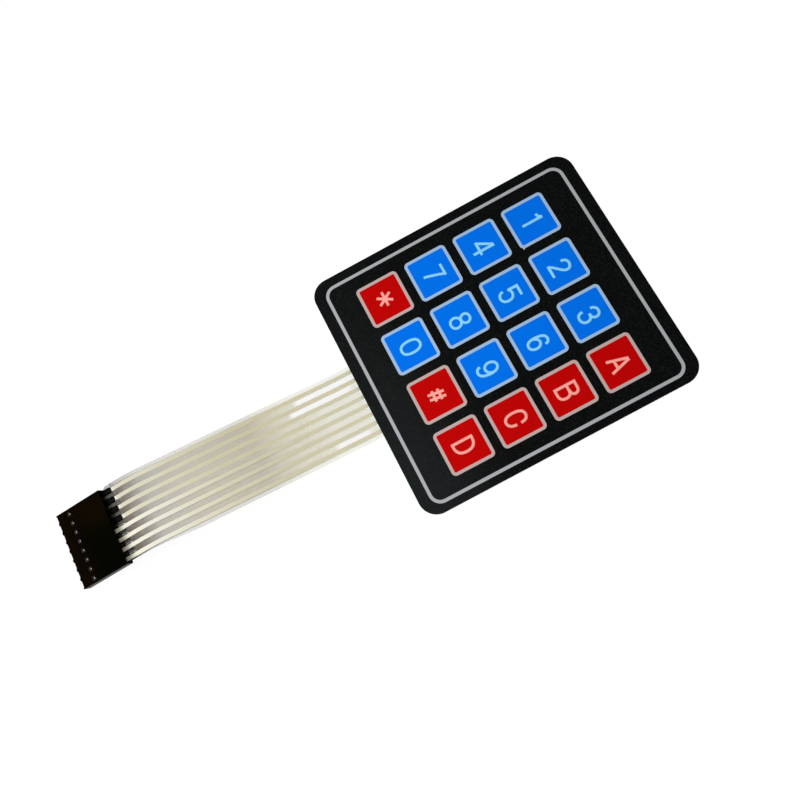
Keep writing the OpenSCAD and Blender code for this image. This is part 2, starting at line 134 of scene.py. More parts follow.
# Centre lines of the legends, in millimetres from the middle of their key. Each stroke is
# its width, its kind and its points. The kinds are straight lines, a smooth curve through
# the points, and a smooth closed curve
STRAIGHT, SMOOTH, CLOSED = range(3)
LEGENDS = {
    "1": [
        (0.76, STRAIGHT, [(0.48, 3.05), (0.48, -2.72)]),
        (0.42, SMOOTH, [(-0.96, 1.95), (-0.46, 1.99), (-0.07, 2.22), (0.23, 2.58),
            (0.46, 3.05)]),
    ],
    "2": [
        (0.68, SMOOTH, [(-0.96, 1.03), (-0.89, 1.66), (-0.6, 2.25), (-0.1, 2.58), (0.43, 2.68),
            (1.06, 2.55), (1.59, 2.15), (1.82, 1.56), (1.72, 0.93), (1.36, 0.3), (0.7, -0.43),
            (-0.1, -1.26), (-0.7, -1.99), (-0.96, -2.52)]),
        (0.68, STRAIGHT, [(-1.26, -2.52), (2.22, -2.52)]),
    ],
    "3": [
        (0.68, SMOOTH, [(-0.93, 1.13), (-0.83, 1.79), (-0.43, 2.38), (0.23, 2.68), (0.96, 2.58),
            (1.52, 2.15), (1.72, 1.49), (1.56, 0.83), (1.09, 0.36), (0.17, 0.2)]),
        (0.68, SMOOTH, [(0.17, 0.2), (1.09, 0.13), (1.69, -0.4), (1.89, -1.16), (1.72, -1.92),
            (1.19, -2.45), (0.4, -2.65), (-0.36, -2.45), (-0.83, -1.89), (-0.99, -1.06)]),
    ],
    "A": [
        (0.68, STRAIGHT, [(0.1, 2.85), (-1.42, -2.65)]),
        (0.68, STRAIGHT, [(0.36, 2.85), (1.89, -2.65)]),
        (0.5, STRAIGHT, [(-0.86, -0.76), (1.32, -0.76)]),
    ],
    "4": [
        (0.76, STRAIGHT, [(0.93, 3.05), (0.93, -2.98)]),
        (0.56, STRAIGHT, [(0.73, 2.95), (-1.52, -1.03)]),
        (0.6, STRAIGHT, [(-1.85, -1.03), (2.02, -1.03)]),
    ],
    "5": [
        (0.68, STRAIGHT, [(-1.19, 2.62), (1.95, 2.62)]),
        (0.68, STRAIGHT, [(-0.83, 2.95), (-0.83, 0)]),
        (0.68, SMOOTH, [(-0.93, 0.07), (-0.46, 0.5), (0.26, 0.73), (0.99, 0.56), (1.59, 0.03),
            (1.82, -0.86), (1.69, -1.82), (1.23, -2.45), (0.46, -2.72), (-0.26, -2.55),
            (-0.79, -2.09), (-1.06, -1.32)]),
    ],
    "6": [
        (0.68, SMOOTH, [(1.75, 1.42), (1.56, 2.05), (1.09, 2.45), (0.5, 2.55), (-0.17, 2.28),
            (-0.63, 1.56), (-0.86, 0.4), (-0.89, -0.83), (-0.66, -1.95), (-0.17, -2.55),
            (0.46, -2.72), (1.16, -2.52), (1.62, -1.92), (1.79, -1.06), (1.62, -0.23),
            (1.16, 0.3), (0.5, 0.5), (-0.17, 0.23), (-0.63, -0.33), (-0.86, -0.93)]),
    ],
    "B": [
        (0.68, STRAIGHT, [(-1.19, 3.08), (-1.19, -2.98)]),
        (0.68, SMOOTH, [(-1.19, 2.72), (0.6, 2.72), (1.26, 2.52), (1.66, 2.05), (1.72, 1.49),
            (1.49, 0.96), (0.99, 0.66), (0.26, 0.53), (-1.19, 0.53)]),
        (0.68, SMOOTH, [(0.26, 0.53), (1.09, 0.36), (1.62, -0.1), (1.82, -0.99), (1.66, -1.85),
            (1.19, -2.38), (0.46, -2.62), (-1.19, -2.62)]),
    ],
    "7": [
        (0.68, STRAIGHT, [(-1.42, 2.65), (1.99, 2.65)]),
        (0.8, SMOOTH, [(1.56, 2.58), (1.06, 1.26), (0.6, -0.13), (0.17, -1.56),
            (-0.13, -2.81)]),
    ],
    "8": [
        (0.68, CLOSED, [(0.36, 2.68), (1.23, 2.38), (1.62, 1.52), (1.23, 0.6), (0.36, 0.23),
            (-0.5, 0.6), (-0.89, 1.52), (-0.5, 2.38)]),
        (0.68, CLOSED, [(0.36, 0.17), (1.36, -0.23), (1.79, -1.26), (1.39, -2.32),
            (0.36, -2.68), (-0.66, -2.32), (-1.06, -1.26), (-0.63, -0.23)]),
    ],
    "9": [
        (0.68, SMOOTH, [(-0.96, -1.49), (-0.76, -2.12), (-0.3, -2.55), (0.36, -2.68),
            (1.06, -2.38), (1.56, -1.62), (1.79, -0.4), (1.82, 0.73), (1.59, 1.82),
            (1.09, 2.45), (0.43, 2.68), (-0.3, 2.45), (-0.76, 1.82), (-0.96, 0.93),
            (-0.76, 0.07), (-0.26, -0.46), (0.4, -0.63), (1.09, -0.36), (1.56, 0.23),
            (1.79, 0.83)]),
    ],
    "C": [
        (0.68, SMOOTH, [(1.82, 0.76), (1.69, 1.66), (1.36, 2.32), (0.83, 2.65), (0.17, 2.72),
            (-0.56, 2.42), (-1.03, 1.66), (-1.26, 0.5), (-1.26, -0.5), (-1.03, -1.66),
            (-0.5, -2.38), (0.23, -2.62), (0.93, -2.45), (1.46, -1.92), (1.72, -1.19),
            (1.82, -0.4)]),
    ],
    "*": [
        (0.4, STRAIGHT, [(-2.22, 0.07), (1.95, 0.07)]),
        (0.4, STRAIGHT, [(-1.26, 1.92), (1.06, -1.85)]),
        (0.4, STRAIGHT, [(1.06, 1.92), (-1.26, -1.85)]),
    ],
    "0": [
        (0.68, CLOSED, [(0.2, 2.65), (1.16, 2.32), (1.69, 1.39), (1.85, 0.03), (1.69, -1.36),
            (1.16, -2.28), (0.2, -2.62), (-0.76, -2.28), (-1.29, -1.36), (-1.46, 0.03),
            (-1.29, 1.39), (-0.76, 2.32)]),
    ],
    "#": [
        (0.44, STRAIGHT, [(-0.17, 2.12), (-0.76, -2.19)]),
        (0.44, STRAIGHT, [(1.16, 2.12), (0.56, -2.19)]),
        (0.44, STRAIGHT, [(-1.32, 0.79), (1.66, 0.79)]),
        (0.44, STRAIGHT, [(-1.42, -0.76), (1.56, -0.76)]),
    ],
    "D": [
        (0.68, STRAIGHT, [(-1.19, 2.98), (-1.19, -2.98)]),
        (0.68, SMOOTH, [(-1.19, 2.62), (0, 2.58), (0.93, 2.19), (1.56, 1.36), (1.79, 0.03),
            (1.56, -1.36), (0.93, -2.19), (0, -2.58), (-1.19, -2.62)]),
    ],
}


# Node building

def add(tree, kind, inputs=(), **settings):
    """Adds a node with its settings, and gives its inputs values or links, by name or index."""
    made = tree.nodes.new(kind)
    for name, value in settings.items():
        setattr(made, name, value)
    for key, value in dict(inputs).items():
        if isinstance(value, bpy.types.NodeSocket):
            tree.links.new(value, made.inputs[key])
        else:
            made.inputs[key].default_value = value
    return made


def mix_colours(tree, factor, a, b):
    """Mixes two colours, each a socket or a value, by a factor."""
    return add(tree, "ShaderNodeMix", {0: factor, 6: a, 7: b}, data_type="RGBA").outputs[2]


def ramp(tree, value, low, high, to_low=0.0, to_high=1.0):
    """Maps a value smoothly from one range to another, and holds it past the ends."""
    return add(tree, "ShaderNodeMapRange",
               {"Value": value, "From Min": low, "From Max": high,
                "To Min": to_low, "To Max": to_high},
               interpolation_type="SMOOTHSTEP").outputs[0]


def calculate(tree, operation, a, b=0.0):
    """One step of arithmetic on sockets or numbers."""
    return add(tree, "ShaderNodeMath", {0: a, 1: b}, operation=operation).outputs[0]


def apart(tree, a, b):
    """How far two sockets or numbers are apart."""
    return calculate(tree, "ABSOLUTE", calculate(tree, "SUBTRACT", a, b))


def opaque(colour):
    """A colour with its alpha, as a socket takes it."""
    return (*colour[:3], 1.0)


def colour_stops(tree, factor, stops):
    """Blends along a factor from stop to stop, each a place, a colour and perhaps a cover.
    Gives the colour and the cover."""
    made = add(tree, "ShaderNodeValToRGB", {0: factor})
    elements = made.color_ramp.elements
    for place, colour, *cover in stops[1:-1]:
        elements.new(place).color = (*colour, *(cover or [1.0]))
    for element, (place, colour, *cover) in zip((elements[0], elements[-1]),
                                                (stops[0], stops[-1])):
        element.position, element.color = place, (*colour, *(cover or [1.0]))
    return made.outputs


def new_group(name, inputs, outputs):
    """A shader node group with named sockets, and its input and output nodes."""
    tree = bpy.data.node_groups.new(name, "ShaderNodeTree")
    for socket, value in inputs.items():
        tree.interface.new_socket(
            socket, in_out="INPUT", socket_type="NodeSocketFloat").default_value = value
    for socket in outputs:
        tree.interface.new_socket(socket, in_out="OUTPUT", socket_type="NodeSocketFloat")
    return tree, add(tree, "NodeGroupInput").outputs, add(tree, "NodeGroupOutput").inputs


def fine_grain_group():
    """Fine tooth of a textured film: a height for bump and a mask of lighter flecks."""
    name = "Fine grain"
    if name in bpy.data.node_groups:
        return bpy.data.node_groups[name]
    tree, given, out = new_group(
        name, {"Grain size": 0.16 * MM, "Mottle size": 3 * MM}, ("Height", "Fleck"))
    place = add(tree, "ShaderNodeTexCoord").outputs["Object"]
    fine = add(tree, "ShaderNodeTexNoise",
               {"Vector": place, "Scale": calculate(tree, "DIVIDE", 1.0, given["Grain size"]),
                "Detail": 2.0, "Roughness": 0.6}).outputs[0]
    wide = add(tree, "ShaderNodeTexNoise",
               {"Vector": place, "Scale": calculate(tree, "DIVIDE", 1.0, given["Mottle size"]),
                "Detail": 3.0, "Roughness": 0.5}).outputs[0]
    tree.links.new(fine, out["Height"])
    flecks = ramp(tree, fine, *FLECK_RANGE)
    mottle = ramp(tree, wide, *MOTTLE_RANGE, 0.5, 1.0)
    tree.links.new(calculate(tree, "MULTIPLY", flecks, mottle), out["Fleck"])
    return tree


def object_place(tree):
    """The point's place on the object, split in X, Y and Z."""
    return add(tree, "ShaderNodeSeparateXYZ",
               {0: add(tree, "ShaderNodeTexCoord").outputs["Object"]}).outputs


def tail_place_group():
    """A point's share of the way from the pad to the housing, and its distance in X from
    the nearest pin's centre line."""
    name = "Place on the tail"
    if name in bpy.data.node_groups:
        return bpy.data.node_groups[name]
    tree, given, out = new_group(name, {"Pitch": PIN_PITCH}, ("Along", "From pin"))
    place = object_place(tree)
    beyond = calculate(tree, "SUBTRACT", PAD_FOOT_Y, place["Y"])
    tree.links.new(calculate(tree, "DIVIDE", beyond, TAIL_LENGTH), out["Along"])
    pitches = calculate(tree, "DIVIDE", place["X"], given["Pitch"])
    # Whole pitches are added, so that the fraction is taken of a positive number
    whole = 100.0
    part = calculate(tree, "FRACT", calculate(tree, "ADD", pitches, whole))
    side = calculate(tree, "SUBTRACT", part, 0.5)
    tree.links.new(calculate(tree, "MULTIPLY", side, given["Pitch"]), out["From pin"])
    return tree


def soft_patch_group():
    """A soft-edged oblong patch around a place in the plan."""
    name = "Soft patch"
    if name in bpy.data.node_groups:
        return bpy.data.node_groups[name]
    tree, given, out = new_group(
        name, {"Middle X": 0, "Half X": MM, "Middle Y": 0, "Half Y": MM, "Edge X": MM,
               "Edge Y": MM}, ("Mask",))
    place = object_place(tree)
    masks = []
    for axis in "XY":
        away = apart(tree, place[axis], given["Middle " + axis])
        rim = calculate(tree, "ADD", given["Half " + axis], given["Edge " + axis])
        masks.append(ramp(tree, away, given["Half " + axis], rim, 1.0, 0.0))
    tree.links.new(calculate(tree, "MULTIPLY", *masks), out["Mask"])
    return tree


def use_group(tree, group, **inputs):
    """Places a node group with its own values."""
    made = add(tree, "ShaderNodeGroup", node_tree=group)
    for name, value in inputs.items():
        made.inputs[name.replace("_", " ")].default_value = value
    return made.outputs


def soft_patch(tree, middle, half, edge):
    """The mask of a patch, from its middle, half its size and its edge, each in X and Y."""
    return use_group(tree, soft_patch_group(), Middle_X=middle[0], Middle_Y=middle[1],
                     Half_X=half[0], Half_Y=half[1], Edge_X=edge[0], Edge_Y=edge[1])["Mask"]


def new_material(name, **constants):
    """A material with a Principled BSDF whose named sockets hold constants."""
    material = bpy.data.materials.new(name)
    material.use_nodes = True
    tree = material.node_tree
    shader = tree.nodes["Principled BSDF"]
    for socket, value in constants.items():
        shader.inputs[socket.replace("_", " ")].default_value = value
    return material, tree, shader


def bump(tree, shader, height, distance):
    """Feeds a height to the shader's normal."""
    made = add(tree, "ShaderNodeBump", {"Height": height, "Distance": distance, "Strength": 1})
    tree.links.new(made.outputs[0], shader.inputs["Normal"])


def finish_nodes(material, *names):
    """Gives CAD nodes a material."""
    for name in names:
        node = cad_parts[name]
        if node.material_slots:
            for material_slot in node.material_slots:
                material_slot.material = material
        else:
            node.data.materials.append(material)


# Settings

def colour_property(name, description, default):
    return FloatVectorProperty(name=name, description=description, default=default,
                               subtype="COLOR", size=3, min=0, max=1)


def length_property(name, description, default):
    return FloatProperty(name=name, description=description, default=default,
                         subtype="DISTANCE", unit="LENGTH", min=0, precision=5)


def share_property(name, description, default):
    return FloatProperty(name=name, description=description, default=default,
                         subtype="FACTOR", min=0, max=1)


class KeypadPrintSettings(bpy.types.PropertyGroup):
    """Colours and texture of the printed overlay."""

    ground: colour_property("Ground", "Colour of the overlay", (0.0022, 0.0023, 0.0022))
    fleck: colour_property("Fleck", "Colour of the grain's lighter flecks",
                           (0.0175, 0.0205, 0.021))
    line: colour_property("Border line", "Colour of the border line", (0.395, 0.41, 0.43))
    blue_frame: colour_property("Blue keys' frames", "Colour of the digit keys' frames",
                                (0.34, 0.49, 0.68))
    red_frame: colour_property("Red keys' frames", "Colour of the other keys' frames",
                               (0.51, 0.395, 0.375))
    blue: colour_property("Blue", "Colour of the digit keys", (0.0, 0.16, 0.81))
    red: colour_property("Red", "Colour of the letter and sign keys", (0.5, 0.0005, 0.0005))
    grain: length_property("Grain", "Size of the film's texture", 0.2 * MM)
    relief: length_property("Relief", "Depth of the film's texture", 0.006 * MM)
    roughness: share_property("Roughness", "Roughness of the overlay", 0.5)
    gloss: share_property("Gloss", "Strength of the overlay's reflections", 0.01)


class KeypadLegendSettings(bpy.types.PropertyGroup):
    """Sizes and colours of the legends."""

    on_blue: colour_property("On blue", "Colour of the white ink seen over blue",
                             (0.25, 0.67, 1.0))
    on_red: colour_property("On red", "Colour of the white ink seen over red",
                            (1.0, 0.38, 0.32))
    weight: FloatProperty(name="Weight", description="Stroke width against the drawn one",
                          default=0.72, min=0.3, max=2)
    thickness: length_property("Thickness", "Thickness of the ink", 0.02 * MM)


class KeypadTailSettings(bpy.types.PropertyGroup):
    """Looks of the film tail and its tracks."""

    haze: colour_property("Haze", "Colour of the films' paler mottling", (0.88, 0.87, 0.74))
    haze_share: share_property("Haze share", "How much of the lower film is mottled", 0.12)
    margin_cover: share_property("Margin cover",
                                 "How much of its cover the film keeps at its side edges",
                                 0.4)
    top_film: colour_property("Upper film", "Colour of the upper film", (0.8, 0.78, 0.66))
    top_cover: share_property("Upper film cover", "How much a face of the upper film hides",
                              0.03)
    # Painted shade: how much the darkened upper film hides near the housing
    shade_cover: share_property("Shade cover",
                                "How much a face of the upper film hides past the layers "
                                "below it", 0.88)
    bond: colour_property("Bond", "Colour of the spacer between the films",
                          (0.62, 0.59, 0.46))
    bond_cover: share_property("Bond cover", "How much a face of the spacer hides", 0.015)
    ink_speck: colour_property("Ink specks", "Colour of the ink's brighter specks",
                               (0.95, 0.92, 0.76))


class KeypadConnectorSettings(bpy.types.PropertyGroup):
    """Looks of the connector."""

    housing: colour_property("Housing", "Colour of the housing", (0.0011, 0.0013, 0.0003))
    # A painted reflection: the warm tint of the housing's lighter patches
    housing_reflection_tint: colour_property("Housing's warm patches",
                                  "Colour of the housing's lighter patches",
                                  (0.005, 0.0026, 0.0003))
    housing_roughness: share_property("Housing roughness", "Roughness of the housing", 0.2)
    housing_gloss: share_property("Housing gloss", "Strength of its reflections", 0.005)
    side_gloss: share_property("Side gloss", "Strength of the polished sides' reflections",
                               0.015)
    # Painted shade: the contacts' metal is dark like the shade inside the housing's windows
    metal: colour_property("Metal", "Colour of the contacts, darkened as painted shade",
                           (0.05, 0.046, 0.042))
    glint: colour_property("Glint", "Colour of the bright spot in each window",
                           (0.9, 0.9, 0.88))
    finger: colour_property("Fingers", "Colour of the crimped fingers",
                            (0.003, 0.003, 0.0035))
    # A painted highlight: the paler middle along each finger
    finger_highlight: colour_property("Finger crowns", "Colour of the fingers' painted highlights",
                           (0.01, 0.01, 0.0105))


class KeypadBackSettings(bpy.types.PropertyGroup):
    """Looks of the pad's back and edge."""

    liner: colour_property("Liner", "Colour of the release liner", (0.82, 0.79, 0.68))
    adhesive: colour_property("Adhesive", "Colour of the adhesives", (0.62, 0.6, 0.52))


class KeypadStageSettings(bpy.types.PropertyGroup):
    """The floor, the lamps and the camera."""

    camera: FloatVectorProperty(name="Camera", description="Where the camera stands",
                                default=(0.05015, -0.02446, 0.19013), subtype="TRANSLATION")
    aim: FloatVectorProperty(name="Aim", description="The point in the picture's middle",
                             default=(0.00397, -0.03061, 0.0), subtype="TRANSLATION")
    roll: FloatProperty(name="Roll", description="Turn of the camera about its axis",
                        default=math.radians(-61.746), subtype="ANGLE")
    lens: FloatProperty(name="Lens", description="Focal length in millimetres",
                        default=34.366, min=1)
    floor: length_property("Floor", "Side of the floor", 6.0)
    ambient: FloatProperty(name="Ambient", description="Strength of the light all round",
                           default=0.64, min=0)
    lamp: FloatProperty(name="Lamp", description="Power of the soft lamp in watts",
                        default=0.1, min=0, subtype="POWER")
    lamp_place: FloatVectorProperty(name="Lamp place", description="Where the lamp stands",
                                    default=(0.0, -0.075, 0.14), subtype="TRANSLATION")
    lamp_size: length_property("Lamp size", "Diameter of the soft lamp", 0.1)


# The printed overlay

# How much white is in the flecks of each print
GREY_FLECK, BLUE_FLECK, RED_FLECK, WHITE_FLECK = 0.05, 0.002, 0.004, 0.03
# Half the size of the square in which a frame takes its key's hue, and the square's edge
FRAME_HALF = (KEY_SIDE / 2 + 0.5 * MM,) * 2
FRAME_EDGE = (0.1 * MM,) * 2
# How much the black film's flecks show, and a painted sheen that pales it towards its foot
# and towards +X: between which places along Y and X, and from which share to which
BLACK_FLECK = 0.85
SHEEN_Y = (-10 * MM, -34 * MM)
SHEEN_X = (-40 * MM, 35 * MM)
SHEEN_SHARE = (0.12, 0.5)
# A bare speck in the black film
SPECK_MIDDLE = (-15.64 * MM, 16.2 * MM)
SPECK_HALF = (0.11 * MM,) * 2
SPECK_EDGE = (0.06 * MM,) * 2
SPECK_COLOUR = (1.0, 1.0, 0.98)


def printed_material(name, colour, fleck_share, settings):
    """Screen print on textured film."""
    material, tree, shader = new_material(
        name, Roughness=settings.roughness, Specular_IOR_Level=settings.gloss)
    grain = use_group(tree, fine_grain_group(), Grain_size=settings.grain)
    lighter = tuple(c + (1 - c) * fleck_share for c in colour)
    tree.links.new(mix_colours(tree, grain["Fleck"], opaque(colour), opaque(lighter)),
                   shader.inputs["Base Color"])
    bump(tree, shader, grain["Height"], settings.relief)
    return material


class KEYPAD_OT_overlay(bpy.types.Operator):
    """Finish the overlay, its border, its key frames and its coloured fields"""

    bl_idname = "keypad.overlay"
    bl_label = "Overlay and print"

    def frame_material(self, settings):
        """Grey print whose hue leans towards the key that it runs round."""
        material = printed_material("Grey print on keys", settings.blue_frame, GREY_FLECK,
                                    settings)
        tree = material.node_tree
        shader = tree.nodes["Principled BSDF"]
        plain = shader.inputs["Base Color"].links[0].from_socket
        red = 0.0
        for signs, centres in zip(KEY_ROWS, key_centres()):
            for sign, centre in zip(signs, centres):
                if sign in RED_KEYS:
                    red = calculate(tree, "MAXIMUM", red,
                                    soft_patch(tree, centre, FRAME_HALF, FRAME_EDGE))
        tree.links.new(mix_colours(tree, red, plain, opaque(settings.red_frame)),
                       shader.inputs["Base Color"])
        return material

    def execute(self, context):
        settings = context.scene.keypad_print
        material, tree, shader = new_material(
            "Black textured film", Roughness=settings.roughness,
            Specular_IOR_Level=settings.gloss)
        grain = use_group(tree, fine_grain_group(), Grain_size=settings.grain)
        place = object_place(tree)
        # Painted sheen: the black pales towards the pad's foot and towards +X
        painted_sheen = calculate(tree, "MULTIPLY", ramp(tree, place["Y"], *SHEEN_Y),
                          ramp(tree, place["X"], *SHEEN_X, *SHEEN_SHARE))
        paler = calculate(tree, "ADD",
                          calculate(tree, "MULTIPLY", grain["Fleck"], BLACK_FLECK), painted_sheen)
        black = mix_colours(tree, paler, opaque(settings.ground), opaque(settings.fleck))
        speck = soft_patch(tree, SPECK_MIDDLE, SPECK_HALF, SPECK_EDGE)
        tree.links.new(mix_colours(tree, speck, black, opaque(SPECK_COLOUR)),
                       shader.inputs["Base Color"])
        bump(tree, shader, grain["Height"], settings.relief)
        finish_nodes(material, "graphic_overlay")
        finish_nodes(self.frame_material(settings), "key_frames")
        for name, colour, fleck, node in (
                ("Grey print", settings.line, GREY_FLECK, "border_line"),
                ("Blue print", settings.blue, BLUE_FLECK, "blue_key_fields"),
                ("Red print", settings.red, RED_FLECK, "red_key_fields")):
            finish_nodes(printed_material(name, colour, fleck, settings), node)
        return {"FINISHED"}


# The legends

# How many points a smooth curve gets between two given ones
CURVE_STEPS = 5


def smooth_line(points, closed):
    """Points along a smooth curve through the given ones."""
    count = len(points)

    def at(i):
        return Vector(points[i % count] if closed else points[min(max(i, 0), count - 1)])

    line = []
    for i in range(count if closed else count - 1):
        before, here, there, after = at(i - 1), at(i), at(i + 1), at(i + 2)
        for step in range(CURVE_STEPS):
            t = step / CURVE_STEPS
            line.append(0.5 * (2 * here + (there - before) * t
                               + (2 * before - 5 * here + 4 * there - after) * t * t
                               + (3 * here - before - 3 * there + after) * t ** 3))
    return line if closed else line + [at(count - 1)]


def key_centres():
    """The middles of the sixteen keys, row by row, from the box of the key frames."""
    low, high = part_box("key_frames")
    half = KEY_SIDE / 2
    return [[Vector((low.x + half + column * (high.x - low.x - KEY_SIDE) / 3,
                     high.y - half - row * (high.y - low.y - KEY_SIDE) / 3))
             for column in range(4)] for row in range(4)]


def legend_curves(wanted):
    """A curve object that holds the centre line of every stroke of the wanted legends."""
    curve = bpy.data.curves.new("legend_lines", "CURVE")
    curve.dimensions = "3D"
    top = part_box("blue_key_fields")[1].z
    for signs, centres in zip(KEY_ROWS, key_centres()):
        for sign, centre in zip(signs, centres):
            for width, kind, points in LEGENDS[sign] if sign in wanted else ():
                line = ([Vector(p) for p in points] if kind == STRAIGHT
                        else smooth_line(points, kind == CLOSED))
                spline = curve.splines.new("POLY")
                spline.points.add(len(line) - 1)
                spline.use_cyclic_u = kind == CLOSED
                for point, place in zip(spline.points, line):
                    place = centre + place * MM
                    point.co = (place.x, place.y, top, 1)
                    point.radius = width
    made = bpy.data.objects.new("legend_lines", curve)
    bpy.context.scene.collection.objects.link(made)
    return made


def legend_tree(ink):
    """Geometry nodes that turn centre lines into flat inked strokes."""
    tree = bpy.data.node_groups.new("Legend strokes", "GeometryNodeTree")
    face = tree.interface
    face.new_socket("Lines", in_out="INPUT", socket_type="NodeSocketGeometry")
    face.new_socket("Unit width", in_out="INPUT", socket_type="NodeSocketFloat")
    face.new_socket("Thickness", in_out="INPUT", socket_type="NodeSocketFloat")
    face.new_socket("Strokes", in_out="OUTPUT", socket_type="NodeSocketGeometry")
    given = add(tree, "NodeGroupInput").outputs
    upright = add(tree, "GeometryNodeSetCurveNormal", {"Curve": given["Lines"]},
                  mode="Z_UP").outputs[0]
    profile = add(tree, "GeometryNodeCurvePrimitiveQuadrilateral",
                  {"Width": given["Unit width"], "Height": given["Thickness"]}).outputs[0]
    strokes = add(tree, "GeometryNodeCurveToMesh",
                  {"Curve": upright, "Profile Curve": profile, "Fill Caps": True}).outputs[0]
    joined = add(tree, "GeometryNodeMeshBoolean",
                 {"Mesh 2": strokes, "Self Intersection": True},
                 operation="UNION", solver="EXACT").outputs[0]
    inked = add(tree, "GeometryNodeSetMaterial",
                {"Geometry": joined, "Material": ink}).outputs[0]
    add(tree, "NodeGroupOutput",
        {0: add(tree, "GeometryNodeRealizeInstances", {0: inked}).outputs[0]})
    return tree


def made_mesh(source, name, tree, inputs):
    """Runs geometry nodes on an object and keeps the result as a plain mesh object."""
    modifier = source.modifiers.new(tree.name, "NODES")
    modifier.node_group = tree
    for item in tree.interface.items_tree:
        if item.item_type == "SOCKET" and item.in_out == "INPUT" and item.name in inputs:
            modifier[item.identifier] = inputs[item.name]
    graph = bpy.context.evaluated_depsgraph_get()
    mesh = bpy.data.meshes.new_from_object(source.evaluated_get(graph), depsgraph=graph)
    source.modifiers.remove(modifier)
    bpy.data.objects.remove(source)
    mesh.name = name
    made = bpy.data.objects.new(name, mesh)
    bpy.context.scene.collection.objects.link(made)
    return made


class KEYPAD_OT_legends(bpy.types.Operator):
    """Print the digits, letters and signs on the keys"""

    bl_idname = "keypad.legends"
    bl_label = "Legends"

    def execute(self, context):
        settings = context.scene.keypad_legends
        for name, signs, ink_name, colour in (
                ("blue_key_legends", BLUE_KEYS, "White print over blue", settings.on_blue),
                ("red_key_legends", RED_KEYS, "White print over red", settings.on_red)):
            ink = printed_material(ink_name, colour, WHITE_FLECK, context.scene.keypad_print)
            legends = made_mesh(legend_curves(signs), name, legend_tree(ink),
                                {"Unit width": settings.weight * MM,
                                 "Thickness": settings.thickness})
            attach(legends, ROOT)
        return {"FINISHED"}


# The tail

FILM_ROUGHNESS = 0.22
FILM_GLOSS = 0.5
FILM_RELIEF = 0.01 * MM
# The soft ends of a glare patch, a painted highlight, across X and along Y
PATCH_EDGE = (0.25 * MM, 2 * MM)
# How the upper film's cover varies with its mottling
UPPER_MOTTLE = (0.8, 1.4)
# Past the layers below it the upper film is darkened as painted shade and is less glossy:
# where that begins and is full, and its gloss there
SHADE_RANGE = (COVER_END - 0.004, COVER_END - 0.001)
SHADE_GLOSS = 0.1
# The black bar beside each finger: its middle's distance in X from the pin's centre line,
# the distances from its middle where it fades, the share of the tail over which it begins,
# and its colour
BAR_MIDDLE = 0.92 * MM
BAR_FADE = (0.14 * MM, 0.24 * MM)
BAR_START = 0.003
BAR_COLOUR = (0.002, 0.002, 0.002)
# Half the width of the clear strip over each track, before and past the finger's tip, the
# width of its soft edge, and half the share of the tail over which it widens
STRIP_HALVES = (0.47 * MM, 0.78 * MM)
STRIP_EDGE = 0.12 * MM
STRIP_WIDENS = 0.0015
INK_ROUGHNESS = 0.42
INK_GLOSS = 0.3
INK_GRAIN = 0.12 * MM
INK_SPECK_SHARE = 0.15
INK_RELIEF = 0.004 * MM


def layer_copy(name, node, growth):
    """A smooth copy of a layer's solid, with every face moved out by the growth."""
    shape = bmesh.new()
    shape.from_mesh(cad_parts[node].data)
    bmesh.ops.remove_doubles(shape, verts=shape.verts, dist=MERGE_DISTANCE)
    shape.normal_update()
    moves = [vert.normal * min(vert.calc_shell_factor(), CORNER_LIMIT) * growth
             for vert in shape.verts]
    for vert, move in zip(shape.verts, moves):
        vert.co += move
    for edge in shape.edges:
        edge.smooth = edge.calc_face_angle(math.pi) < SHARP_ANGLE
    for face in shape.faces:
        face.smooth = True
    mesh = bpy.data.meshes.new(name)
    shape.to_mesh(mesh)
    shape.free()
    made = bpy.data.objects.new(name, mesh)
    bpy.context.scene.collection.objects.link(made)
    return made


